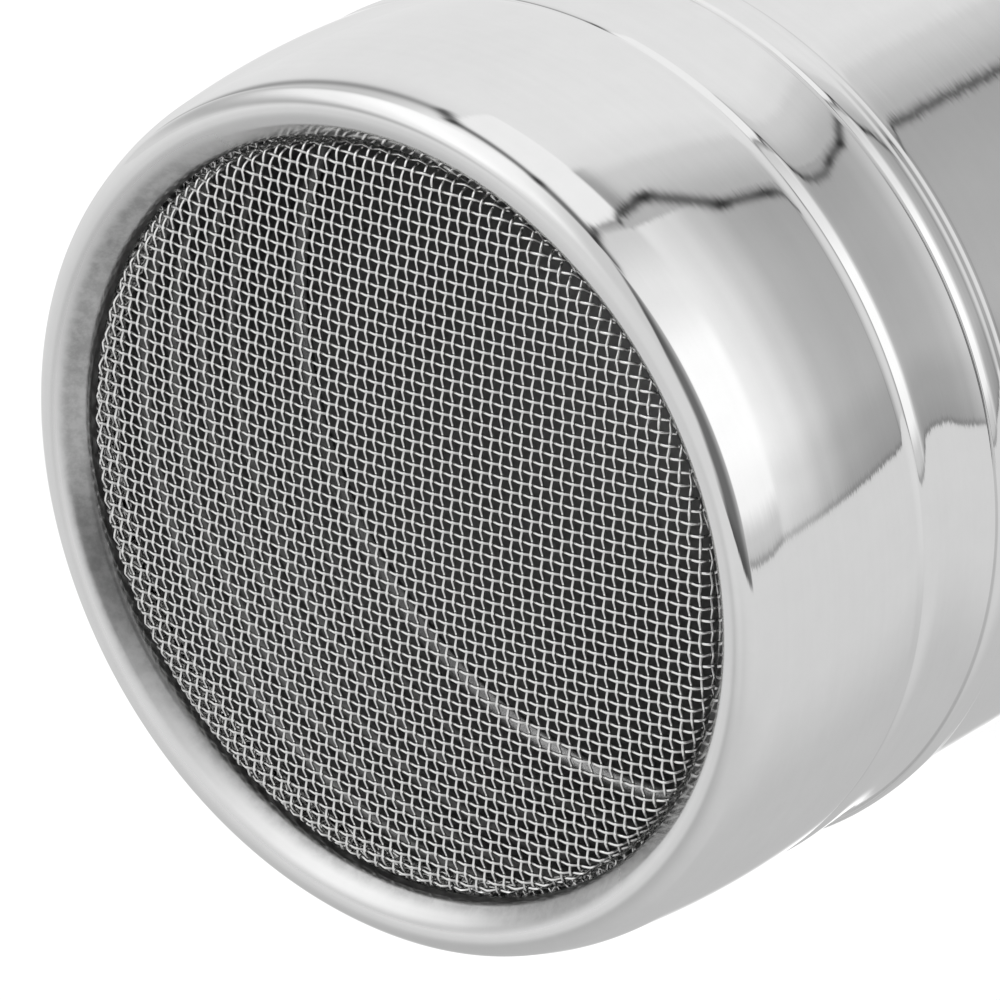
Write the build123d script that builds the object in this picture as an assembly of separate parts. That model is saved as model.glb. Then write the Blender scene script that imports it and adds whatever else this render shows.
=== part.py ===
from build123d import *
import os
from math import acos, atan, cos, degrees, radians, sin, sqrt, tan

# Powder shaker: a drawn steel can with a screw lid that holds a domed sieve of woven wire.
# Millimetres. The origin is the centre of the foot, +Z runs up the axis to the sieve.

# ---- can -------------------------------------------------------------------------------------
can_r = 33.0                # outside of the wall
can_wall = 0.5
foot_corner_r = 3.5         # rounded lower edge, outside
foot_ring_w = 0.9           # flat ring that the can stands on
base_recess = 1.2           # height of the recessed base above the foot
base_slope_w = 2.0          # width of the cone between foot ring and base
neck_step = 1.2             # the neck is narrower than the wall by this
shoulder_h = 1.4            # height of the cone from the wall to the neck
mouth_hem = 1.3             # width and height of the hem that rounds the mouth
mouth_hem_cut = 0.4         # its cut corners

# ---- lid, outside ----------------------------------------------------------------------------
rim_top_z = 95.0            # highest point of the rim, with the lid screwed down
lid_sheet = 0.4
lip_roll_r = 2.6            # rounding from the rim's top into the opening
lip_drop = 4.0              # from the rim's top down to the end of the lip
rim_roll_r = 1.6            # rounding from the rim's top outwards
rim_roll_end = 65.6         # degrees from the axis at which the rounding meets the shoulder
shoulder_r = 9.7            # rounding of the shoulder
shoulder_end = 82.1         # degrees from the axis at which the shoulder meets the skirt
skirt_barrel_r = 71.4       # the skirt is slightly barrel-shaped
groove_drop = 17.9          # from the rim's top down to the fine groove
groove_w = 0.75
groove_depth = 0.12
bead_w = 2.0                # rolled bead below the groove
bead_height = 0.36
cove_depth = 0.12           # hollow between bead and hem
hem_top_drop = 25.8         # from the rim's top down to the upper edge of the hem
hem_w = 3.1
hem_stand = 0.5             # how far the hem stands out of the skirt
hem_cut = 0.3               # its cut edges
hem_lead = 0.5              # its inner edge is cut wider and clears the shoulder of the can
hem_gap = 0.45              # between the hem and the shoulder of the can

# ---- sieve -----------------------------------------------------------------------------------
wire_d = 0.18
warp_pitch = 0.832
weft_pitch = 0.868
layer_gap = 0.05            # between the two layers of wires
sieve_gap = 0.25            # between the lip and the wall of the sieve
crown_rise = 0.7            # from the rim's top up to the top of the sieve
dome_h = 1.75               # from the top of the sieve down to the end of the dome
pan_corner = 1.1            # rounding of the sieve's edge
flange_w = 3.75             # from the sieve's wall to the outer end of its flange

# ---- rings in the lid ------------------------------------------------------------------------
clamp_t = 0.8
clamp_in = 0.8              # from the sieve's wall out to the clamp ring
liner_t = 0.7
gasket_t = 1.2
gasket_lap = 0.6            # how far the gasket reaches in from the can's mouth

# ---- fits ------------------------------------------------------------------------------------
sieve_seat_gap = 0.04       # between the lip's end, the flange and the clamp ring
ring_fit = 0.05             # radial, a ring in the lid
thread_fit = 0.08           # radial, the neck in the liner
gasket_fit = 0.10           # radial, the gasket in the liner
mouth_gap = 0.10            # between the mouth and the gasket
hidden_gap = 0.05           # between the gasket, the clamp ring, the liner and the shoulder


def arc_end(centre, radius, angle):
    """Point of an arc, its angle in degrees from +Z outwards."""
    return (centre[0] + radius * sin(radians(angle)), centre[1] + radius * cos(radians(angle)))


def arc(centre, radius, start, end):
    """Arc between two angles in degrees from +Z outwards."""
    middle = arc_end(centre, radius, (start + end) / 2)
    return ThreePointArc(arc_end(centre, radius, start), middle, arc_end(centre, radius, end))


def bend_shift(across, along, thickness):
    """How far a sheet's bend line moves along it from the outer side to the inner side."""
    return thickness * tan(atan(across / along) / 2)


def ring(edges):
    """Solid of revolution of a closed section drawn as (radius, height)."""
    return revolve(Plane.XZ * make_face(edges), Axis.Z)


# Heights, from the top down
lip_end_z = rim_top_z - lip_drop
flange_top_z = lip_end_z - sieve_seat_gap
flange_bottom_z = flange_top_z - 2 * wire_d - layer_gap
clamp_top_z = flange_bottom_z - sieve_seat_gap
clamp_bottom_z = clamp_top_z - clamp_t
gasket_top_z = clamp_bottom_z - hidden_gap
gasket_bottom_z = gasket_top_z - gasket_t
mouth_z = gasket_bottom_z - mouth_gap
groove_z = rim_top_z - groove_drop
hem_top_z = rim_top_z - hem_top_drop
hem_bottom_z = hem_top_z - hem_w
shoulder_top_z = hem_bottom_z - hem_gap
neck_base_z = shoulder_top_z + shoulder_h

# Radii, from the neck outwards: liner, sheet of the lid, hem
neck_r = can_r - neck_step
liner_inner_r = neck_r + thread_fit
liner_r = liner_inner_r + liner_t
skirt_inner_r = liner_r + ring_fit
band_r = skirt_inner_r + lid_sheet + cove_depth
hem_r = band_r + hem_stand

# Arcs of the lid: rim, shoulder and barrel-shaped skirt meet without an edge, and end at the band
roll_z = rim_top_z - rim_roll_r
shoulder_z = roll_z + (rim_roll_r - shoulder_r) * cos(radians(rim_roll_end))
barrel_z = shoulder_z + (shoulder_r - skirt_barrel_r) * cos(radians(shoulder_end))
barrel_c = (band_r - sqrt(skirt_barrel_r ** 2 - (groove_z - barrel_z) ** 2), barrel_z)
shoulder_c = (barrel_c[0] + (skirt_barrel_r - shoulder_r) * sin(radians(shoulder_end)), shoulder_z)
roll_c = (shoulder_c[0] + (shoulder_r - rim_roll_r) * sin(radians(rim_roll_end)), roll_z)
lip_c = (roll_c[0], rim_top_z - lip_roll_r)
lip_r = lip_c[0] - lip_roll_r
pan_r = lip_r - sieve_gap - 3 * wire_d
flange_r = pan_r + flange_w
dome_r = pan_r + 2 * wire_d - pan_corner
dome_flat_r = dome_r / 3


def lid_inside():
    """Inner side of the lid's sheet from the end of the lip over the rim to the hem."""
    return [
        (lip_r + lid_sheet, lip_end_z),
        (lip_r + lid_sheet, lip_c[1]),
        arc_end(lip_c, lip_roll_r - lid_sheet, -45),
        arc_end(lip_c, lip_roll_r - lid_sheet, 0),
        arc_end(roll_c, rim_roll_r - lid_sheet, rim_roll_end),
        arc_end(shoulder_c, shoulder_r - lid_sheet, shoulder_end),
        arc_end(barrel_c, skirt_barrel_r - lid_sheet, 90),
        (skirt_inner_r, groove_z),
        (skirt_inner_r, hem_bottom_z + hem_lead),
        (skirt_inner_r + hem_lead, hem_bottom_z),
    ]


def inside_r(z):
    """Inside radius of the lid at a height between its shoulder and its groove."""
    points = lid_inside()[4:]
    for (r0, z0), (r1, z1) in zip(points, points[1:]):
        if z1 <= z <= z0:
            return r0 + (r1 - r0) * (z0 - z) / (z0 - z1)
    return skirt_inner_r


def lid_shell():
    """Drawn cap: lip, rim, shoulder, skirt, groove, bead, cove and outward hem."""
    barrel_end = degrees(acos((groove_z - barrel_z) / skirt_barrel_r))
    groove_foot = (band_r, groove_z - groove_w)
    bead_foot = (band_r, groove_foot[1] - bead_w)
    hem_top = (band_r, hem_top_z)
    inside = lid_inside()
    edges = [
        Line((lip_r, lip_end_z), (lip_r, lip_c[1])),
        arc(lip_c, lip_roll_r, -90, 0),
        arc(roll_c, rim_roll_r, 0, rim_roll_end),
        arc(shoulder_c, shoulder_r, rim_roll_end, shoulder_end),
        arc(barrel_c, skirt_barrel_r, shoulder_end, barrel_end),
        Polyline((band_r, groove_z), (band_r - groove_depth, groove_z - groove_w / 2), groove_foot),
        SagittaArc(groove_foot, bead_foot, bead_height),
        SagittaArc(bead_foot, hem_top, -cove_depth),
        Polyline(
            hem_top,
            (hem_r - hem_cut, hem_top_z),
            (hem_r, hem_top_z - hem_cut),
            (hem_r, hem_bottom_z + hem_cut),
            (hem_r - hem_cut, hem_bottom_z),
            *reversed(inside),
            (lip_r, lip_end_z),
        ),
    ]
    return ring([edge for line in edges for edge in line.edges()])


def can_body():
    """Drawn can: recessed base, foot ring, wall, shoulder, neck and hemmed mouth."""
    foot_edge_r = can_r - foot_corner_r
    foot_r = foot_edge_r - foot_ring_w
    corner_c = (foot_edge_r, foot_corner_r)
    base_shift = bend_shift(base_recess, base_slope_w, can_wall)
    neck_shift = bend_shift(neck_step, shoulder_h, can_wall)
    hem_in_r = neck_r - mouth_hem
    hem_foot_z = mouth_z - mouth_hem
    edges = [
        Polyline((0, base_recess), (foot_r - base_slope_w, base_recess), (foot_r, 0), (foot_edge_r, 0)),
        arc(corner_c, foot_corner_r, 180, 90),
        Polyline(
            (can_r, foot_corner_r),
            (can_r, shoulder_top_z),
            (neck_r, neck_base_z),
            (neck_r, mouth_z - mouth_hem_cut),
            (neck_r - mouth_hem_cut, mouth_z),
            (hem_in_r + mouth_hem_cut, mouth_z),
            (hem_in_r, mouth_z - mouth_hem_cut),
            (hem_in_r, hem_foot_z + mouth_hem_cut),
            (hem_in_r + mouth_hem_cut, hem_foot_z),
            (neck_r - can_wall, hem_foot_z),
            (neck_r - can_wall, neck_base_z - neck_shift),
            (can_r - can_wall, shoulder_top_z - neck_shift),
            (can_r - can_wall, foot_corner_r),
            arc_end(corner_c, foot_corner_r - can_wall, 135),
            (foot_edge_r, can_wall),
            (foot_r + base_shift, can_wall),
            (foot_r - base_slope_w + base_shift, base_recess + can_wall),
            (0, base_recess + can_wall),
            (0, base_recess),
        ),
    ]
    return ring([edge for line in edges for edge in line.edges()])


def flat_ring(inner_r, outer_r, top_z, height):
    """Flat ring with a square section."""
    centre = ((inner_r + outer_r) / 2, top_z - height / 2)
    return ring((Pos(*centre) * Rectangle(outer_r - inner_r, height)).edges())


def clamp_ring():
    """Flat ring that presses the flange of the sieve to the end of the lip."""
    outer_r = inside_r(clamp_top_z) - ring_fit
    return flat_ring(pan_r + clamp_in, outer_r, clamp_top_z, clamp_t)


def seal_gasket():
    """Flat soft ring between the mouth of the can and the clamp ring."""
    inner_r = neck_r - mouth_hem - gasket_lap
    return flat_ring(inner_r, liner_inner_r - gasket_fit, gasket_top_z, gasket_t)


def thread_liner():
    """Threaded ring in the skirt, tapered at its top like the skirt around it."""
    top_z = clamp_bottom_z - hidden_gap
    bottom_z = neck_base_z + hidden_gap
    return ring(Polyline(
        (liner_inner_r, bottom_z),
        (liner_r, bottom_z),
        (liner_r, barrel_z),
        (inside_r(top_z) - ring_fit, top_z),
        (liner_inner_r, top_z),
        close=True,
    ).edges())


def dome_drop(t):
    """Drop of the dome at a distance along X or Y: flat in the middle, then straight to the edge.
    The drops along X and Y add up, so both layers of wires stay one gap apart where they cross."""
    return dome_h * max(0, abs(t) - dome_flat_r) / (dome_r - dome_flat_r)


def span(radius, x):
    """Half of the length of a line across a circle, at a distance from its centre."""
    return sqrt(radius ** 2 - x ** 2)


def half_wire(x, wall_r, rise):
    """Inner side of half a wire as (y, z): flange, wall, rounded edge and dome."""
    inner_r = wall_r - pan_corner
    crown_z = rim_top_z + crown_rise - 2 * wire_d - layer_gap + rise
    edge_z = crown_z - dome_h
    bend = pan_corner * (1 - sin(radians(45)))
    corner = [(wall_r, edge_z - pan_corner), (wall_r - bend, edge_z - bend)]
    foot_z = flange_bottom_z + rise
    path = [(span(flange_r, x), foot_z), (span(wall_r, x), foot_z)]
    path += [(span(r, x), z) for r, z in corner if r > abs(x)]
    if abs(x) >= inner_r:
        return path
    dome = [span(inner_r, x)]
    if dome_flat_r < dome[0] - wire_d:
        dome.append(dome_flat_r)
    return path + [(y, crown_z - dome_drop(x) - dome_drop(y)) for y in dome]


def sieve_wire(x, wall_r, rise):
    """One wire along Y, as a square bar bent to the shape of the pan."""
    half = half_wire(x, wall_r, rise)
    line = Polyline(*half, *[(-y, z) for y, z in reversed(half)])
    strip = offset(line, amount=wire_d, kind=Kind.INTERSECTION, side=Side.RIGHT)
    return Pos(x, 0, 0) * extrude(Plane.YZ * make_face(strip.edges()), amount=wire_d / 2, both=True)


def sieve_layer(pitch, wall_r, rise):
    """All wires of one layer, side by side along X. The rise sets one layer above the other."""
    last = int(wall_r / pitch)
    return Compound(children=[sieve_wire(n * pitch, wall_r, rise) for n in range(-last, last + 1)])


def main():
    os.makedirs("parts", exist_ok=True)
    export_step(can_body(), "parts/can_body.step")
    export_step(lid_shell(), "parts/lid_shell.step")
    export_step(clamp_ring(), "parts/clamp_ring.step")
    export_step(thread_liner(), "parts/thread_liner.step")
    export_step(seal_gasket(), "parts/seal_gasket.step")
    export_step(sieve_layer(warp_pitch, pan_r, 0), "parts/mesh_warp_wires.step")
    upper = sieve_layer(weft_pitch, pan_r + 2 * wire_d, wire_d + layer_gap)
    export_step(Rot(0, 0, 90) * upper, "parts/mesh_weft_wires.step")


main()
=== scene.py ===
from math import acos, cos, degrees, exp, pi, radians, sin, sqrt, tau

import bpy
from mathutils import Matrix, Vector


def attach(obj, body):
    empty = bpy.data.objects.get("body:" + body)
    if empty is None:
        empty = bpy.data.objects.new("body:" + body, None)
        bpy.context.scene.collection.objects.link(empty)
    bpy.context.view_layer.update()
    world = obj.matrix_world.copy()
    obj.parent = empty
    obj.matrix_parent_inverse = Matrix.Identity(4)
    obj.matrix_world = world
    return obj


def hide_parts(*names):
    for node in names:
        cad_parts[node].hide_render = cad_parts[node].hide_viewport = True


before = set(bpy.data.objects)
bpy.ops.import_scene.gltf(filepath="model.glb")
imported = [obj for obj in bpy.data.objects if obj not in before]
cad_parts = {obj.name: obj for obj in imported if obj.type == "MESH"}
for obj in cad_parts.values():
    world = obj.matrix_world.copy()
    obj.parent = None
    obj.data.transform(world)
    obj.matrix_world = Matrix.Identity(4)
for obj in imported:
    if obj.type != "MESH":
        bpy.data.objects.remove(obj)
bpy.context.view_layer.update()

MM = 0.001

# ---- sizes, in mm, the same as in the part's source ------------------------------------------
CAN_R, CAN_WALL = 33.0, 0.5
FOOT_CORNER_R, FOOT_RING_W = 3.5, 0.9
BASE_RECESS, BASE_SLOPE_W = 1.2, 2.0
NECK_STEP, SHOULDER_H, MOUTH_CURL_R = 1.2, 1.4, 0.65
RIM_TOP_Z, LID_SHEET = 95.0, 0.4
LIP_ROLL_R, LIP_DROP = 2.6, 4.0
RIM_ROLL_R, RIM_ROLL_END = 1.6, 65.6
SHOULDER_R, SHOULDER_END = 9.7, 82.1
BARREL_R = 71.4
GROOVE_DROP, COVE_DEPTH = 17.9, 0.12
HEM_TOP_DROP, HEM_W, HEM_GAP = 25.8, 3.1, 0.45
WIRE_D, WARP_PITCH, WEFT_PITCH, LAYER_GAP = 0.18, 0.832, 0.868, 0.05
SIEVE_GAP, CROWN_RISE, PAN_CORNER = 0.25, 0.7, 1.1
CLAMP_T, CLAMP_IN, CLAMP_OUTER_R = 0.8, 0.8, 32.2232
LINER_T, LINER_TOP_R = 0.7, 32.281
GASKET_T, GASKET_LAP, MOUTH_HEM = 1.2, 0.6, 1.3
SEAT_GAP, RING_FIT, THREAD_FIT, GASKET_FIT, MOUTH_GAP, HIDDEN_GAP = 0.04, 0.05, 0.08, 0.10, 0.10, 0.05

# ---- finer forms that only the looks have, in mm ---------------------------------------------
THREAD_PITCH, THREAD_DEPTH, THREAD_RUN_OUT = 3.2, 0.45, 1.6
# the lip: a roll, a cone (degrees and width) and a tighter roll at its edge
LIP_TOP_R, LIP_CONE, LIP_CONE_W, LIP_EDGE_R = 1.78, 42, 1.13, 1.0
HEM_LEDGE, HEM_EDGE_R, HEM_FIT = 0.17, 0.05, 0.07
FLARE, FLARE_Z, FLARE_H = 0.11, 64.3, 1.3       # the can widens by FLARE over FLARE_H below the hem
INNER_BEAD_DEPTH, INNER_BEAD_W = 0.95, 1.1      # bead inside the neck
ROUND_WIRE_D, WARP_CRIMP, WEFT_CRIMP, DOME_CURVE = 0.205, 0.135, 0.092, 0.0026
LID_SEGMENTS, CAN_SEGMENTS, LINER_SEGMENTS, RING_SEGMENTS = 400, 360, 300, 240
CURL_STEPS = 24

LIP_END_Z = RIM_TOP_Z - LIP_DROP
HEM_TOP_Z = RIM_TOP_Z - HEM_TOP_DROP
HEM_BOTTOM_Z = HEM_TOP_Z - HEM_W
SHOULDER_TOP_Z = HEM_BOTTOM_Z - HEM_GAP
NECK_BASE_Z = SHOULDER_TOP_Z + SHOULDER_H
FLANGE_BOTTOM_Z = LIP_END_Z - SEAT_GAP - 2 * WIRE_D - LAYER_GAP
CLAMP_TOP_Z = FLANGE_BOTTOM_Z - SEAT_GAP
CLAMP_BOTTOM_Z = CLAMP_TOP_Z - CLAMP_T
GASKET_TOP_Z = CLAMP_BOTTOM_Z - HIDDEN_GAP
GASKET_BOTTOM_Z = GASKET_TOP_Z - GASKET_T
MOUTH_Z = GASKET_BOTTOM_Z - MOUTH_GAP
GROOVE_Z = RIM_TOP_Z - GROOVE_DROP

NECK_R = CAN_R - NECK_STEP
LINER_INNER_R = NECK_R + THREAD_FIT
LINER_R = LINER_INNER_R + LINER_T
SKIRT_INNER_R = LINER_R + RING_FIT
BAND_R = SKIRT_INNER_R + LID_SHEET + COVE_DEPTH


def on_arc(centre, radius, angle):
    """Point (r, z) of an arc, its angle in degrees from +Z outwards."""
    return (centre[0] + radius * sin(radians(angle)), centre[1] + radius * cos(radians(angle)))


def arc(centre, radius, start, end, steps):
    return [on_arc(centre, radius, start + (end - start) * i / steps) for i in range(steps + 1)]


def straight(start, end, steps):
    return [(start[0] + (end[0] - start[0]) * i / steps, start[1] + (end[1] - start[1]) * i / steps)
            for i in range(steps + 1)]


ROLL_Z = RIM_TOP_Z - RIM_ROLL_R
SHOULDER_Z = ROLL_Z + (RIM_ROLL_R - SHOULDER_R) * cos(radians(RIM_ROLL_END))
BARREL_Z = SHOULDER_Z + (SHOULDER_R - BARREL_R) * cos(radians(SHOULDER_END))
BARREL_C = (BAND_R - sqrt(BARREL_R ** 2 - (GROOVE_Z - BARREL_Z) ** 2), BARREL_Z)
SHOULDER_C = (BARREL_C[0] + (BARREL_R - SHOULDER_R) * sin(radians(SHOULDER_END)), SHOULDER_Z)
ROLL_C = (SHOULDER_C[0] + (SHOULDER_R - RIM_ROLL_R) * sin(radians(RIM_ROLL_END)), ROLL_Z)
LIP_C = (ROLL_C[0], RIM_TOP_Z - LIP_ROLL_R)
LIP_R = LIP_C[0] - LIP_ROLL_R
PAN_R = LIP_R - SIEVE_GAP - 3 * WIRE_D

# centres of the two rolls of the lip, with the cone between them
LIP_TOP_C = (ROLL_C[0], RIM_TOP_Z - LIP_TOP_R)
CONE_COS, CONE_SIN = cos(radians(LIP_CONE)), sin(radians(LIP_CONE))
LIP_EDGE_C = (LIP_TOP_C[0] - (LIP_TOP_R - LIP_EDGE_R) * CONE_SIN - LIP_CONE_W * CONE_COS,
              LIP_TOP_C[1] + (LIP_TOP_R - LIP_EDGE_R) * CONE_COS - LIP_CONE_W * CONE_SIN)


def spin(name, outline, segments, sway=None):
    """Surface of revolution of a closed outline of (r, z) points, in mm. Where sway is given, it
    returns how far a point moves outwards at an angle and a height."""
    verts, faces = [], []
    rings = []
    for r, z in outline:
        if r < 1e-6:
            rings.append([len(verts)])
            verts.append((0, 0, z * MM))
            continue
        rings.append(list(range(len(verts), len(verts) + segments)))
        for i in range(segments):
            a = tau * i / segments
            q = r + (sway(r, z, a) if sway else 0)
            verts.append((q * cos(a) * MM, q * sin(a) * MM, z * MM))
    count = len(rings)
    for k in range(count):
        low, high = rings[k], rings[(k + 1) % count]
        if len(low) == 1 and len(high) == 1:
            continue
        for i in range(segments):
            j = (i + 1) % segments
            if len(low) == 1:
                faces.append((low[0], high[j], high[i]))
            elif len(high) == 1:
                faces.append((low[i], low[j], high[0]))
            else:
                faces.append((low[i], low[j], high[j], high[i]))
    mesh = bpy.data.meshes.new(name)
    mesh.from_pydata(verts, [], faces)
    mesh.update()
    obj = bpy.data.objects.new(name, mesh)
    bpy.context.scene.collection.objects.link(obj)
    smooth(obj, 35)
    return obj


def smooth(obj, sharp):
    """Smooth shading, with edges above the angle in degrees kept sharp."""
    mesh = obj.data
    mesh.polygons.foreach_set("use_smooth", [True] * len(mesh.polygons))
    mesh.set_sharp_from_angle(angle=radians(sharp))


def inset(points, amount):
    """The outline moved sideways by amount, to the right of its direction."""
    moved = []
    for i, (r, z) in enumerate(points):
        a = points[max(i - 1, 0)]
        b = points[min(i + 1, len(points) - 1)]
        dr, dz = b[0] - a[0], b[1] - a[1]
        n = sqrt(dr * dr + dz * dz)
        moved.append((r + amount * dz / n, z - amount * dr / n))
    return moved


def fit(obj, body, node):
    """The piece rides on its body and takes the place of its plain solid."""
    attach(obj, body)
    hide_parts(node)


# ---- lid -------------------------------------------------------------------------------------
SWEEP_STEP = 0.06
# (depth, lean outwards in degrees) down the lid, below the barrel of the skirt
GROOVE = [(0, -3), (0.15, -5), (0.5, -8), (0.9, -9), (1.08, -8), (1.2, -3), (1.26, 0)]
BEAD_AND_COVE = [(0, 23), (0.6, 8.5), (0.85, 3), (1.3, -2.4), (2.3, -3.3), (3.6, -3.0), (4.6, -1.8),
                 (5.6, 0.3), (6.6, 2), (8.16, 4.4)]
HEM_BAND = [(0, 22), (0.25, 15), (0.45, 8), (0.7, 3), (1.0, 1), (1.4, -3), (1.7, -4.5), (1.9, -8), (2.1, -8),
            (2.25, -3.5), (2.45, -3), (2.6, -8), (2.8, -10), (3.0, -16), (3.14, -50)]


def swept(start, slopes):
    """Outline that runs down from start and leans outwards by the slopes' angles."""
    r, z = start
    points = [start]
    depth = 0.0
    while depth < slopes[-1][0] - 1e-6:
        mid = depth + SWEEP_STEP / 2
        for (d0, a0), (d1, a1) in zip(slopes, slopes[1:]):
            if d0 <= mid <= d1:
                angle = a0 + (a1 - a0) * (mid - d0) / (d1 - d0)
        depth += SWEEP_STEP
        r += SWEEP_STEP * sin(radians(angle)) / cos(radians(angle))
        points.append((r, z - depth))
    return points


def lid_outline():
    barrel_end = degrees(acos((GROOVE_Z + 0.9 - BARREL_Z) / BARREL_R))
    lip_inner_r = LIP_EDGE_C[0] - LIP_EDGE_R
    outer = straight((lip_inner_r, LIP_END_Z), (lip_inner_r, LIP_EDGE_C[1]), 4)
    outer += arc(LIP_EDGE_C, LIP_EDGE_R, -90, -LIP_CONE, 20)[1:]
    outer += arc(LIP_TOP_C, LIP_TOP_R, -LIP_CONE, 0, 24)
    outer += arc(ROLL_C, RIM_ROLL_R, 0, RIM_ROLL_END, 36)[1:]
    outer += arc(SHOULDER_C, SHOULDER_R, RIM_ROLL_END, SHOULDER_END, 20)[1:]
    outer += arc(BARREL_C, BARREL_R, SHOULDER_END, barrel_end, 44)[1:]
    outer += swept(outer[-1], GROOVE)[1:]
    outer += swept(outer[-1], BEAD_AND_COVE)[1:]
    # the hem: a ledge, a slightly rounded band with a fine line, and the curl at the bottom
    crease_r, crease_z = outer[-1]
    edge_r = crease_r + HEM_LEDGE - HEM_EDGE_R
    hem = [(crease_r + 0.03, crease_z + 0.01), (edge_r, crease_z - 0.01)]
    hem += arc((edge_r, crease_z - 0.06), HEM_EDGE_R, 20, 62, 4)
    hem += swept(hem[-1], HEM_BAND)[1:]
    bottom = hem[-1][1] - 0.02
    hem.append((hem[-1][0] - 0.05, bottom))
    seat_r, skirt_foot = CAN_R + HEM_FIT, (SKIRT_INNER_R, SHOULDER_TOP_Z + 0.9)
    inside = [(seat_r, bottom), (seat_r, SHOULDER_TOP_Z + 0.1), skirt_foot]
    inside += straight(skirt_foot, (SKIRT_INNER_R, GROOVE_Z), 6)[1:]
    inside += arc(BARREL_C, BARREL_R - LID_SHEET, 90, SHOULDER_END, 10)
    inside += arc(SHOULDER_C, SHOULDER_R - LID_SHEET, SHOULDER_END, RIM_ROLL_END, 6)[1:]
    inside += arc(ROLL_C, RIM_ROLL_R - LID_SHEET, RIM_ROLL_END, 0, 8)[1:]
    inside += arc(LIP_C, LIP_ROLL_R - LID_SHEET, 0, -90, 8)[1:]
    inside += [(LIP_R + LID_SHEET, LIP_END_Z)]
    return outer + hem + inside


lid = spin("lid_skin", lid_outline(), LID_SEGMENTS)
fit(lid, "lid", "lid_shell")


# ---- can -------------------------------------------------------------------------------------
THREAD_LOW, THREAD_HIGH = NECK_BASE_Z + 2.6, MOUTH_Z - 2.6


def thread_wave(z, a):
    """Depth share of the rolled thread at a height and an angle, with ends that run out."""
    turn = (z / THREAD_PITCH - a / tau) % 1.0
    wave = 0.5 - 0.5 * cos(tau * turn)
    fade = min(1.0, max(0.0, (z - THREAD_LOW) / THREAD_RUN_OUT), max(0.0, (THREAD_HIGH - z) / THREAD_RUN_OUT))
    return wave * wave * fade


def can_sway(r, z, a):
    if THREAD_LOW < z < THREAD_HIGH and r > NECK_R - CAN_WALL - 0.05:
        return -THREAD_DEPTH * thread_wave(z, a)
    return 0


INNER_R, INNER_BEAD_Z = NECK_R - CAN_WALL, NECK_BASE_Z - 0.8


def inner_bead(r, z):
    """Inside radius of the can with the low bead in which the neck ends."""
    off = z - INNER_BEAD_Z
    if abs(off) < INNER_BEAD_W - 0.05:
        return min(r, INNER_R - INNER_BEAD_DEPTH * cos(radians(90 * off / INNER_BEAD_W)) ** 2)
    return r


def can_outline():
    edge_r = CAN_R - FOOT_CORNER_R
    foot_r = edge_r - FOOT_RING_W
    outer = [(0, BASE_RECESS), (foot_r - BASE_SLOPE_W, BASE_RECESS)]
    outer += [(foot_r - 0.15, 0.08), (foot_r, 0), (edge_r, 0)]
    outer += arc((edge_r, FOOT_CORNER_R), FOOT_CORNER_R, 180, 90, 20)[1:]
    outer += [(CAN_R - FLARE, z) for z in (10, 20, 30, 40, 50, 60)]
    outer += [(CAN_R - FLARE * (1 - (i / 12) ** 2), FLARE_Z + FLARE_H * i / 12) for i in range(13)]
    outer.append((CAN_R, SHOULDER_TOP_Z - 0.3))
    steps = 14
    for i in range(steps + 1):
        t = i / steps
        outer.append((CAN_R - NECK_STEP * t * t * (3 - 2 * t), SHOULDER_TOP_Z + SHOULDER_H * t))
    outer += straight((NECK_R, NECK_BASE_Z + 0.4), (NECK_R, MOUTH_Z - MOUTH_CURL_R - 0.3), 84)
    inner = inset(outer, -CAN_WALL)
    inner[0] = (0, BASE_RECESS + CAN_WALL)
    inner = [(inner_bead(r, z), z) for r, z in inner]
    curl = arc((NECK_R - MOUTH_CURL_R, MOUTH_Z - MOUTH_CURL_R), MOUTH_CURL_R, 90, -190, CURL_STEPS)
    return outer + curl + inner[::-1]


can = spin("can_skin", can_outline(), CAN_SEGMENTS, sway=can_sway)
fit(can, "can", "can_body")


# ---- rings in the lid ------------------------------------------------------------------------
def rounded(left, right, low, high, corner):
    """Section of a ring with rounded corners."""
    points = arc((right - corner, low + corner), corner, 180, 90, 4)
    points += arc((right - corner, high - corner), corner, 90, 0, 4)
    points += arc((left + corner, high - corner), corner, 0, -90, 4)
    points += arc((left + corner, low + corner), corner, -90, -180, 4)
    return points


clamp_section = rounded(PAN_R + CLAMP_IN, CLAMP_OUTER_R, CLAMP_BOTTOM_Z, CLAMP_TOP_Z, 0.12)
clamp = spin("clamp_skin", clamp_section, RING_SEGMENTS)
fit(clamp, "clamp", "clamp_ring")
gasket_section = rounded(NECK_R - MOUTH_HEM - GASKET_LAP, LINER_INNER_R - GASKET_FIT,
                         GASKET_BOTTOM_Z, GASKET_TOP_Z, 0.25)
gasket = spin("gasket_skin", gasket_section, RING_SEGMENTS)
fit(gasket, "gasket", "seal_gasket")

LINER_TOP_Z, LINER_BOTTOM_Z = CLAMP_BOTTOM_Z - HIDDEN_GAP, NECK_BASE_Z + HIDDEN_GAP


def liner_sway(r, z, a):
    if THREAD_LOW < z < THREAD_HIGH and r < LINER_INNER_R + 0.01:
        return THREAD_DEPTH * 0.8 * thread_wave(z, a + pi)
    return 0


liner_outline = [(LINER_INNER_R + 0.25, LINER_BOTTOM_Z), (LINER_R, LINER_BOTTOM_Z), (LINER_R, BARREL_Z),
                 (LINER_TOP_R, LINER_TOP_Z), (LINER_INNER_R, LINER_TOP_Z)]
liner_outline += straight((LINER_INNER_R, THREAD_HIGH + 0.1), (LINER_INNER_R, LINER_BOTTOM_Z + 0.3), 90)
liner = spin("liner_skin", liner_outline, LINER_SEGMENTS, sway=liner_sway)
fit(liner, "lid", "thread_liner")


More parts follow.
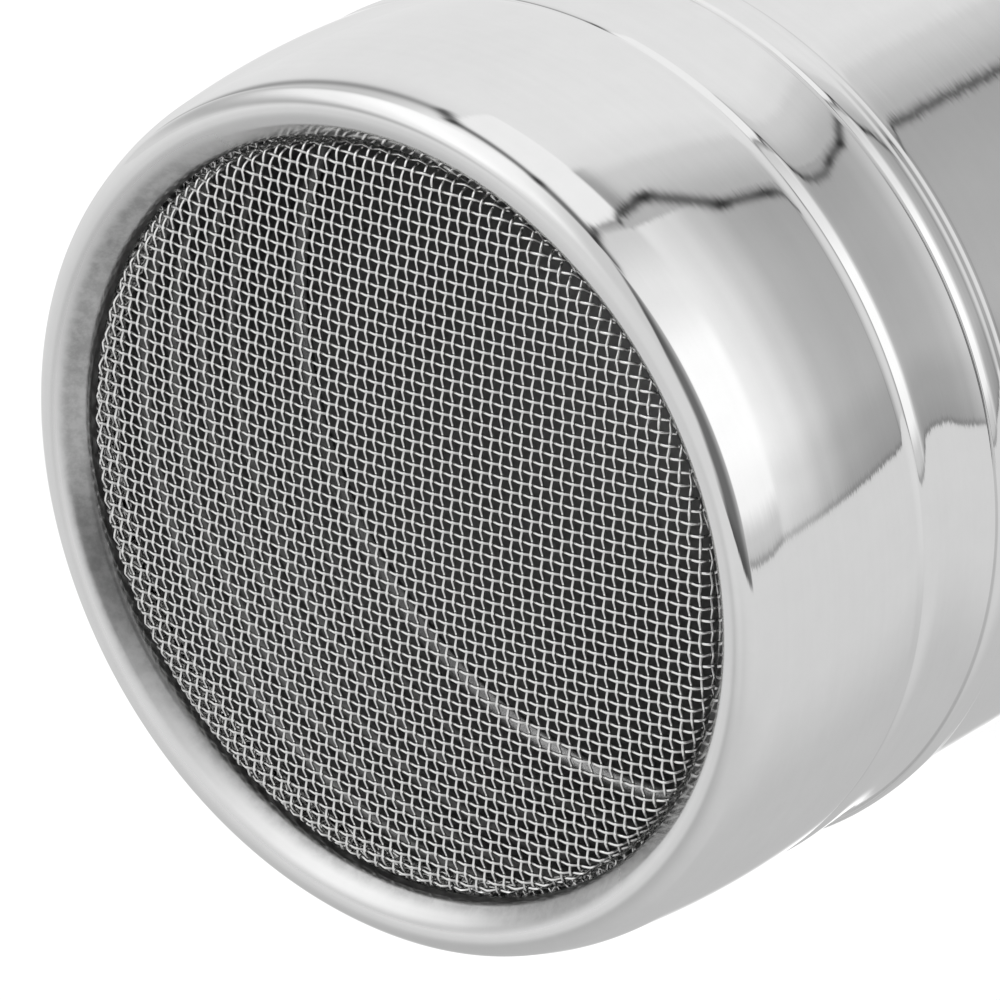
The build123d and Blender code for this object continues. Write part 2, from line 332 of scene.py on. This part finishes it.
# ---- sieve -----------------------------------------------------------------------------------
WALL_R = PAN_R + 2.6 * WIRE_D
DOME_R = WALL_R - PAN_CORNER
CROWN_Z = RIM_TOP_Z + CROWN_RISE - WARP_CRIMP - ROUND_WIRE_D / 2
EDGE_Z = CROWN_Z - DOME_CURVE * DOME_R ** 2
FOOT_Z = FLANGE_BOTTOM_Z + WIRE_D


def drape(u, v, lift):
    """Point of the cloth at (u, v) on the flat sheet once it is pressed to the pan, moved off the
    cloth by lift: dome, rounded edge, wall and flange."""
    flat = sqrt(u * u + v * v)
    edge = PAN_CORNER * pi / 2
    wall = EDGE_Z - PAN_CORNER - FOOT_Z
    if flat < DOME_R:
        r, z, angle = flat, CROWN_Z - DOME_CURVE * flat * flat, 2 * DOME_CURVE * flat
    elif flat < DOME_R + edge:
        angle = (flat - DOME_R) / PAN_CORNER
        r, z = DOME_R + PAN_CORNER * sin(angle), EDGE_Z - PAN_CORNER * (1 - cos(angle))
    elif flat < DOME_R + edge + wall:
        angle = pi / 2
        r, z = WALL_R, EDGE_Z - PAN_CORNER - (flat - DOME_R - edge)
    else:
        angle, r, z = 0.0, WALL_R + flat - DOME_R - edge - wall, FOOT_Z
        lift *= 0.2
    r += lift * sin(angle)
    z += lift * cos(angle)
    return (u / flat * r, v / flat * r, z) if flat > 1e-9 else (0.0, 0.0, z)


REACH = DOME_R + PAN_CORNER * pi / 2 + EDGE_Z - PAN_CORNER - FOOT_Z + 0.9


def tube(verts, faces, line, radius, sides):
    """Adds a round wire along a 3-D line."""
    base = len(verts)
    count = len(line)
    for i, p in enumerate(line):
        a = line[max(i - 1, 0)]
        b = line[min(i + 1, count - 1)]
        t = (Vector(b) - Vector(a)).normalized()
        side = Vector((0, 0, 1)).cross(t)
        if side.length < 1e-4:
            side = Vector((1, 0, 0))
        side.normalize()
        up = t.cross(side)
        for k in range(sides):
            ang = tau * (k + 0.5) / sides
            q = Vector(p) + (side * cos(ang) + up * sin(ang)) * radius
            verts.append(tuple(c * MM for c in q))
    for i in range(count - 1):
        for k in range(sides):
            j = (k + 1) % sides
            a, b = base + i * sides, base + (i + 1) * sides
            faces.append((a + k, a + j, b + j, b + k))
    faces.append(tuple(base + k for k in reversed(range(sides))))
    last = base + (count - 1) * sides
    faces.append(tuple(last + k for k in range(sides)))


WIRE_SIDES = 6
WAVE = (1, 0.6, 0, -0.6, -1, -0.6, 0, 0.6)      # height of a wire over two crossings


def woven_layer(name, pitch, pitch_across, turned):
    """All wires of one direction. Each point stores a share of painted light and shade for the wires' grey:
    much on top of a crossing, less beside and under one, and more on one slope of a hump."""
    verts, faces, tones = [], [], []
    crimp, slope_share = (WEFT_CRIMP, 0.30) if turned else (WARP_CRIMP, 0.05)
    step = pitch_across / 4
    for n in range(-int(REACH / pitch), int(REACH / pitch) + 1):
        u = n * pitch
        side = -1 if (n % 2 == 0) == turned else 1
        line, lit_share = [], []
        last = int(sqrt(max(REACH * REACH - u * u, 0.0)) / step)
        for k in range(-last, last + 1):
            wave = side * WAVE[k % 8]
            slope = -side * sin(pi * k / 4)
            # painted light share of this point: lighter on top of a crossing and on one slope, darker under
            # one
            lit_share += [0.72 + 0.20 * wave + slope_share * slope] * WIRE_SIDES
            at = (k * step, u) if turned else (u, k * step)
            line.append(drape(*at, crimp * wave))
        if len(line) > 3:
            tube(verts, faces, line, ROUND_WIRE_D / 2, WIRE_SIDES)
            tones += lit_share
    mesh = bpy.data.meshes.new(name)
    mesh.from_pydata(verts, [], faces)
    mesh.update()
    mesh.attributes.new("lit_share", "FLOAT", "POINT").data.foreach_set("value", tones)
    obj = bpy.data.objects.new(name, mesh)
    bpy.context.scene.collection.objects.link(obj)
    smooth(obj, 60)
    return obj


warp = woven_layer("sieve_warp", WARP_PITCH, WEFT_PITCH, False)
weft = woven_layer("sieve_weft", WEFT_PITCH, WARP_PITCH, True)
fit(warp, "lid", "mesh_warp_wires")
fit(weft, "lid", "mesh_weft_wires")


# ---- node helper -----------------------------------------------------------------------------
class Net:
    """Short way to write node trees: every method adds a node and returns its output."""

    def __init__(self, tree):
        self.tree = tree

    def new(self, kind, **inputs):
        node = self.tree.nodes.new(kind)
        for key, value in inputs.items():
            self.put(node.inputs[key.replace("_", " ")], value)
        return node

    def put(self, socket, value):
        if isinstance(value, bpy.types.NodeSocket):
            self.tree.links.new(value, socket)
        else:
            socket.default_value = value

    def math(self, op, *args, clamp=False):
        node = self.tree.nodes.new("ShaderNodeMath")
        node.operation = op
        node.use_clamp = clamp
        for i, value in enumerate(args):
            self.put(node.inputs[i], value)
        return node.outputs[0]

    def add(self, a, b):
        return self.math("ADD", a, b)

    def sub(self, a, b):
        return self.math("SUBTRACT", a, b)

    def mul(self, a, b):
        return self.math("MULTIPLY", a, b)

    def step(self, x, low, high, start=0.0, end=1.0):
        """Soft step of x, from start at low to end at high."""
        node = self.tree.nodes.new("ShaderNodeMapRange")
        node.interpolation_type = "SMOOTHSTEP"
        for i, value in enumerate((x, low, high, start, end)):
            self.put(node.inputs[i], value)
        return node.outputs[0]

    def box(self, x, low, high, soft_low, soft_high):
        """1 between low and high, 0 outside, with soft ends."""
        rise = self.step(x, self.sub(low, soft_low), self.add(low, soft_low))
        fall = self.step(x, self.sub(high, soft_high), self.add(high, soft_high), 1.0, 0.0)
        return self.mul(rise, fall)

    def mix(self, a, b, share):
        node = self.tree.nodes.new("ShaderNodeMix")
        node.data_type = "FLOAT"
        for i, value in ((0, share), (2, a), (3, b)):
            self.put(node.inputs[i], value)
        return node.outputs[0]

    def ramp(self, x, low, high, stops):
        """Broken line through (position, value) stops, as a smooth grey ramp."""
        share = self.math("DIVIDE", self.sub(x, low), high - low)
        node = self.tree.nodes.new("ShaderNodeValToRGB")
        self.tree.links.new(share, node.inputs[0])
        ramp = node.color_ramp
        ramp.interpolation = "EASE"
        while len(ramp.elements) < len(stops):
            ramp.elements.new(0.5)
        for element, (position, value) in zip(ramp.elements, stops):
            element.position = (position - low) / (high - low)
            element.color = (value, value, value, 1)
        return node.outputs[0]

    def bell(self, x, middle, width):
        """exp(-((x - middle) / width)^2)"""
        d = self.math("DIVIDE", self.sub(x, middle), width)
        return self.math("POWER", exp(1), self.mul(self.mul(d, d), -1.0))


# ---- materials -------------------------------------------------------------------------------
def material(name):
    mat = bpy.data.materials.new(name)
    mat.use_nodes = True
    return mat, Net(mat.node_tree), mat.node_tree.nodes["Principled BSDF"]


def polar(net):
    """Radius and height in mm, and a vector that runs round the axis without a seam."""
    where = net.new("ShaderNodeTexCoord").outputs["Object"]
    split = net.new("ShaderNodeSeparateXYZ", Vector=where)
    x, y, z = (net.mul(split.outputs[i], 1000.0) for i in range(3))
    r = net.math("SQRT", net.add(net.mul(x, x), net.mul(y, y)))
    turn = net.math("MAXIMUM", r, 0.01)
    return where, r, z, net.math("DIVIDE", x, turn), net.math("DIVIDE", y, turn)


def noise(net, vector, scale, detail=2.0, roughness=0.5):
    node = net.new("ShaderNodeTexNoise", Vector=vector, Scale=scale, Detail=detail, Roughness=roughness)
    return node.outputs[0]


def facing(net, at, x, y):
    """Cosine between the direction (x, y) and the way a place faces round the axis."""
    _, _, _, cx, cy = at
    return net.add(net.mul(cx, x), net.mul(cy, y))


def neck_bead_painted_light(net, at, grey, roughness):
    """Polish and painted light on the bead inside the neck: its grey is painted by direction round the axis,
    as a painted highlight that is lighter on one side and darker on the others.
    """
    z = at[2]
    rise = net.step(z, INNER_BEAD_Z - 1.0, INNER_BEAD_Z - 0.8)
    bead = net.mul(rise, net.step(z, INNER_BEAD_Z + 0.8, INNER_BEAD_Z + 1.0, 1.0, 0.0))
    # painted highlight: the bead's grey is lighter on the side that faces this direction round the axis
    tone = net.step(facing(net, at, 0.34, -0.94), 0.5, 0.97, 0.22, 0.55)
    return net.mix(grey, tone, bead), net.mix(roughness, 0.27, bead)


def hem_painted_shadow(net, at, grey, roughness):
    """Painted shadow of the hem: the can's wall is painted a little darker where the hem runs over it."""
    return net.mul(grey, net.step(at[2], 64.77, 64.93, 1.0, 0.85)), roughness


def lip_wear_and_painted_shade(net, at, grey, roughness):
    """Mottled, worn metal on the inside of the lip, painted shade that darkens it on some sides and towards
    its inner edge, and haze over its roll.
    """
    where, r, z, _, _ = at
    rim = net.step(z, 92.0, 92.6)
    far = net.step(facing(net, at, 0.81, 0.58), 0.0, 0.6, 1.0, 0.3)
    roll = net.mul(net.step(r, 29.6, 30.9, 1.0, 0.0), rim)
    roughness = net.add(roughness, net.mul(net.mul(roll, far), 0.26))
    mottle = net.mul(net.step(noise(net, where, 900.0, 5.0, 0.7), 0.35, 0.65, 0.7, 1.0),
                     net.step(noise(net, where, 60.0, 2.0, 0.5), 0.3, 0.6, 0.8, 1.0))
    patch = net.mul(net.mul(net.step(r, 29.0, 29.9, 1.0, 0.0), rim), mottle)
    # painted shade: the lip's grey is darker on the sides that face these directions round the axis
    wear_and_side_shade = net.step(facing(net, at, -0.98, 0.17), 0.4, 0.95, 0.04, 0.46)
    wear_and_side_shade = net.add(wear_and_side_shade, net.step(facing(net, at, 0.79, -0.61), 0.72, 0.92, 0.0, 0.22))
    # painted shade: towards the inner edge, by the cloth, the lip is darker still
    loss = net.mix(0.45, wear_and_side_shade, net.step(r, 28.05, 29.0))
    return net.sub(grey, net.mul(patch, loss)), roughness


def combed(net, at, normal, amount):
    """Leans the surface to and fro along the rings, so that edges in reflections look ragged."""
    _, _, z, cx, cy = at
    hair_at = net.new("ShaderNodeCombineXYZ", X=net.mul(cx, 9.0), Y=net.mul(cy, 9.0), Z=net.mul(z, 20.0))
    hair = net.mul(net.sub(noise(net, hair_at.outputs[0], 1.0, 2.0, 0.7), 0.5), amount)
    along = net.new("ShaderNodeCombineXYZ", X=net.mul(net.mul(cy, -1.0), hair), Y=net.mul(cx, hair), Z=0.0)
    turn = net.new("ShaderNodeVectorTransform", Vector=along.outputs[0])
    turn.vector_type, turn.convert_from, turn.convert_to = "VECTOR", "OBJECT", "WORLD"
    total = net.new("ShaderNodeVectorMath")
    net.put(total.inputs[0], normal)
    net.put(total.inputs[1], turn.outputs[0])
    unit = net.new("ShaderNodeVectorMath")
    unit.operation = "NORMALIZE"
    net.put(unit.inputs[0], total.outputs[0])
    return unit.outputs[0]


def turned_steel(name, colour, rough, haze, ring_bump, comb=0.0, finish_and_painted_light=None):
    """Polished steel with the fine rings and the haze that turning and polishing leave. Where finish
    is given, it changes the grey and the roughness from place to place, and paints light and shade into the
    grey."""
    mat, net, bsdf = material(name)
    at = where, r, z, cx, cy = polar(net)
    ring_at = net.new("ShaderNodeCombineXYZ", X=net.mul(cx, 0.7), Y=net.mul(cy, 0.7),
                      Z=net.add(net.mul(z, 1.6), net.mul(r, 1.1)))
    rings = noise(net, ring_at.outputs[0], 1.0, 3.0, 0.6)
    spots = noise(net, where, 420.0, 4.0, 0.6)
    broad = noise(net, where, 45.0, 2.0, 0.5)
    tone = net.add(net.mul(spots, 0.05), net.mul(broad, 0.05))
    tone = net.add(tone, net.mul(rings, 0.03))
    grey = net.add(colour - 0.065, tone)
    roughness = net.add(rough - haze, net.mul(net.add(spots, rings), haze))
    if finish_and_painted_light:
        grey, roughness = finish_and_painted_light(net, at, grey, roughness)
    paint = net.new("ShaderNodeCombineColor", Red=grey, Green=grey, Blue=grey)
    net.put(bsdf.inputs["Base Color"], paint.outputs[0])
    net.put(bsdf.inputs["Roughness"], roughness)
    bsdf.inputs["Metallic"].default_value = 1
    bump = net.new("ShaderNodeBump", Height=net.add(rings, net.mul(spots, 0.15)), Distance=ring_bump * MM)
    bump.inputs["Strength"].default_value = 1
    normal = bump.outputs[0]
    if comb:
        normal = combed(net, at, normal, comb)
    net.put(bsdf.inputs["Normal"], normal)
    return mat


def wire_steel():
    mat, net, bsdf = material("mesh_wire")
    where = net.new("ShaderNodeTexCoord").outputs["Object"]
    spots = noise(net, where, 2500.0, 3.0, 0.6)
    broad = noise(net, where, 60.0, 2.0, 0.5)
    lit_share = net.new("ShaderNodeAttribute")
    lit_share.attribute_name = "lit_share"
    # painted light and shade: the wires' grey follows the stored share, lighter on top of crossings and
    # darker beside and under them
    wire_painted_light = net.step(lit_share.outputs["Fac"], 0.0, 1.0, 0.34, 0.99)
    grey = net.mul(wire_painted_light, net.add(0.90, net.add(net.mul(spots, 0.06), net.mul(broad, 0.05))))
    paint = net.new("ShaderNodeCombineColor", Red=grey, Green=grey, Blue=net.mul(grey, 0.99))
    net.put(bsdf.inputs["Base Color"], paint.outputs[0])
    net.put(bsdf.inputs["Roughness"], net.add(0.12, net.mul(spots, 0.16)))
    bsdf.inputs["Metallic"].default_value = 1
    return mat


def rubber():
    mat, net, bsdf = material("silicone")
    where = net.new("ShaderNodeTexCoord").outputs["Object"]
    dust = noise(net, where, 500.0, 4.0, 0.6)
    grey = net.add(0.72, net.mul(dust, 0.10))
    paint = net.new("ShaderNodeCombineColor", Red=grey, Green=grey, Blue=net.mul(grey, 0.97))
    net.put(bsdf.inputs["Base Color"], paint.outputs[0])
    net.put(bsdf.inputs["Roughness"], net.add(0.42, net.mul(dust, 0.2)))
    return mat


def dress(obj, *mats):
    obj.data.materials.clear()
    for mat in mats:
        obj.data.materials.append(mat)


lid_steel = turned_steel("lid_steel", 0.79, 0.035, 0.02, 0.0005, comb=0.035, finish_and_painted_light=lip_wear_and_painted_shade)
can_steel = turned_steel("can_steel", 0.79, 0.045, 0.02, 0.0005, comb=0.06, finish_and_painted_light=hem_painted_shadow)
inner_steel = turned_steel("inner_steel", 0.62, 0.32, 0.10, 0.003, finish_and_painted_light=neck_bead_painted_light)
plain_steel = turned_steel("plain_steel", 0.62, 0.26, 0.08, 0.002)
wire = wire_steel()
dress(lid, lid_steel, inner_steel)
dress(can, can_steel, inner_steel)
dress(warp, wire)
dress(weft, wire)
dress(clamp, plain_steel)
dress(liner, plain_steel)
dress(gasket, rubber())


# the can's inside, past its curled mouth, has the second material
point_count = len(can_outline())
outer_count = (point_count - CURL_STEPS - 1) // 2
for polygon in can.data.polygons[(outer_count + CURL_STEPS) * CAN_SEGMENTS:(point_count - 1) * CAN_SEGMENTS]:
    polygon.material_index = 1

# ---- camera ----------------------------------------------------------------------------------
FOCAL_PX, IMAGE_PX = 9000.0, 1000.0
TILT, TURN, ROLL = radians(44.93), radians(208.01), radians(54.6)
HOLE_PX = (396.07, 523.44)      # where the centre of the opening's plane lies in the frame
HOLE_Z = RIM_TOP_Z - 1.67
PX_PER_HOLE_R, HOLE_R = 410.0, 28.3
DISTANCE = FOCAL_PX / PX_PER_HOLE_R * HOLE_R

axis = Vector((sin(TILT) * cos(TURN), sin(TILT) * sin(TURN), cos(TILT)))
e1 = Vector((0, 0, 1)).cross(axis).normalized()
e2 = axis.cross(e1)
u = e1 * cos(ROLL) + e2 * sin(ROLL)
v = e2 * cos(ROLL) - e1 * sin(ROLL)
hole = Vector(((HOLE_PX[0] - 500) / FOCAL_PX, -(HOLE_PX[1] - 500) / FOCAL_PX, -1)) * DISTANCE
right = Vector((u.x, v.x, axis.x))
up = Vector((u.y, v.y, axis.y))
back = Vector((u.z, v.z, axis.z))
place = Vector((-hole.dot(u), -hole.dot(v), HOLE_Z - hole.dot(axis))) * MM
cam_data = bpy.data.cameras.new("camera")
cam_data.sensor_width = 36
cam_data.lens = FOCAL_PX / IMAGE_PX * 36
cam_data.clip_start = 0.01
cam_data.clip_end = 20
cam = bpy.data.objects.new("camera", cam_data)
bpy.context.scene.collection.objects.link(cam)
cam.matrix_world = Matrix.Translation(place) @ Matrix((right, up, back)).transposed().to_4x4()
bpy.context.scene.camera = cam

# ---- studio ----------------------------------------------------------------------------------
# A white tent. Metal sees its panels: light walls, a bright card low in front with a grey sheet
# under it, a white panel at one side and the darker gap that the camera looks through.
world = bpy.data.worlds.new("studio")
bpy.context.scene.world = world
world.use_nodes = True
net = Net(world.node_tree)
view = net.new("ShaderNodeTexCoord").outputs["Generated"]
split = net.new("ShaderNodeSeparateXYZ", Vector=view)
az = net.math("DEGREES", net.math("ARCTAN2", split.outputs[1], split.outputs[0]))
el = net.math("DEGREES", net.math("ARCSINE", split.outputs[2]))


def stroke(level, start, end, width, depth):
    """Dark line between two directions (azimuth, elevation) of the tent."""
    (a0, e0), (a1, e1) = start, end
    da, de = a1 - a0, e1 - e0
    n = da * da + de * de
    pa, pe = net.sub(az, a0), net.sub(el, e0)
    t = net.math("DIVIDE", net.add(net.mul(pa, da), net.mul(pe, de)), n, clamp=True)
    qa, qe = net.sub(pa, net.mul(t, da)), net.sub(pe, net.mul(t, de))
    d2 = net.math("DIVIDE", net.add(net.mul(qa, qa), net.mul(qe, qe)), -width * width)
    return net.mul(level, net.sub(1.0, net.mul(net.math("POWER", exp(1), d2), depth)))


def round_tent(stops):
    return net.ramp(az, -180.0, 180.0, stops)


middle = round_tent([(-180, 0.83), (-150, 0.78), (-122, 0.67), (-60, 0.75), (-20, 0.80), (70, 0.77),
                     (95, 0.94), (122, 0.99), (142, 0.92), (165, 0.68), (178, 0.80)])
low = round_tent([(-180, 0.83), (-160, 0.80), (-146, 0.98), (-132, 0.98), (-122, 0.68), (-80, 0.71),
                  (-40, 0.79), (-15, 0.80), (68, 0.67), (82, 0.77), (87, 0.835), (96, 0.86), (178, 0.84)])
level = net.mix(low, middle, net.step(el, -24.0, -2.0))
level = net.mix(level, 0.81, net.step(el, 48.0, 74.0))
dip = net.mul(net.bell(az, 140.0, 32.0), net.bell(el, -12.0, 9.0))
level = net.mix(level, 0.70, net.mul(dip, 0.8))

# gap round the camera, darker towards its rims
gap_right = net.sub(65.0, net.mul(el, 0.46))
gap_top = net.ramp(az, -16.0, 56.0, [(-16, 0.64), (8, 0.60), (24, 0.54), (56, 0.44)])
gap = net.mul(net.box(az, -13.5, gap_right, 1.5, 3.0), net.box(el, 6.0, net.mul(gap_top, 100.0), 4.0, 9.0))
right_rim = net.step(az, net.sub(gap_right, 14.0), gap_right)
rims = net.math("MAXIMUM", net.step(az, -13.0, 0.0, 1.0, 0.0), right_rim)
gap_low = net.mix(0.62, 0.42, rims)
gap_tone = net.mix(gap_low, net.mix(0.40, 0.31, rims), net.step(el, 8.0, 30.0))
level = net.mix(level, gap_tone, gap)

# white card at the side
side_height = net.box(el, -31.5, net.sub(8.0, net.mul(az, 0.16)), 0.5, 1.0)
level = net.mix(level, 0.905, net.mul(net.box(az, 71.0, 110.0, 0.5, 1.0), side_height))

# bright card low in front, the grey sheet under it, and the lighter ground under both
card = net.ramp(az, -12.0, 70.0, [(-12, 0.64), (-4, 0.76), (4, 0.94), (16, 0.98), (36, 0.98), (52, 0.88),
                                  (68, 0.78)])
sheet_fall = net.ramp(el, -56.0, -31.0, [(-56, 0.66), (-49, 0.67), (-44, 0.70), (-40, 0.79), (-36, 0.88),
                                         (-32, 0.93)])
sheet = net.mul(sheet_fall, net.ramp(az, -12.0, 70.0, [(-12, 0.84), (2, 0.92), (14, 1.0), (40, 0.97),
                                                      (68, 0.92)]))
front_tone = net.mix(sheet, card, net.step(el, -32.6, -31.4))
front = net.mul(net.box(az, -9.3, 68.5, 0.35, 0.6), net.step(el, 5.5, 1.5))
level = net.mix(level, front_tone, front)
level = net.mix(0.84, level, net.step(el, -67.0, -55.0))

# dark edges of the cards: from and to (azimuth, elevation), width, depth
EDGES = [((-8.3, 2), (-8.8, -54), 0.9, 0.14),
         ((-9, -56), (68, -56), 0.9, 0.10),
         ((68, 2), (70, -5), 1.8, 0.45),
         ((70, -5), (71, -28), 1.2, 0.16),
         ((71, -27), (74.5, -36), 1.3, 0.50),
         ((74.5, -36), (66, -44), 1.3, 0.46),
         ((66, -44), (65.5, -51), 1.3, 0.42),
         ((65.5, -51), (61, -60), 1.3, 0.34),
         ((74, -32.5), (86, -32), 1.5, 0.22),
         ((62, 1.5), (86, -4.5), 2.2, 0.50),
         ((86, -4.5), (110, -11), 1.6, 0.50),
         ((110, -11), (114, -16), 2.0, 0.42),
         ((113, -15), (180, -26), 2.2, 0.28)]
for edge in EDGES:
    level = stroke(level, *edge)

# matt surfaces are lit by an even white tent, and only metal sees the panels
glow = net.math("DIVIDE", net.math("POWER", level, 2.2), 0.76)
path = net.new("ShaderNodeLightPath").outputs
sharp = net.math("MAXIMUM", path["Is Glossy Ray"], path["Is Transmission Ray"])
strength = net.mix(1.0, glow, sharp)
shade = world.node_tree.nodes["Background"]
shade.inputs["Color"].default_value = (1, 1, 1, 1)
net.put(shade.inputs["Strength"], strength)

# ---- floor -----------------------------------------------------------------------------------
FLOOR_HALF = 3.0
floor_mesh = bpy.data.meshes.new("floor")
corners = [(x * FLOOR_HALF, y * FLOOR_HALF, 0) for x, y in ((-1, -1), (1, -1), (1, 1), (-1, 1))]
floor_mesh.from_pydata(corners, [], [(0, 1, 2, 3)])
floor = bpy.data.objects.new("floor", floor_mesh)
bpy.context.scene.collection.objects.link(floor)
floor_mat, net, bsdf = material("floor")
bsdf.inputs["Base Color"].default_value = (0.96, 0.96, 0.96, 1)
bsdf.inputs["Roughness"].default_value = 0.9
bsdf.inputs["Specular IOR Level"].default_value = 0
bsdf.inputs["Emission Color"].default_value = (1, 1, 1, 1)
path = net.new("ShaderNodeLightPath").outputs
net.put(bsdf.inputs["Emission Strength"], net.mul(path["Is Camera Ray"], 0.14))
dress(floor, floor_mat)
floor.visible_glossy = False
floor.visible_transmission = False

bpy.context.scene.view_settings.view_transform = "Standard"
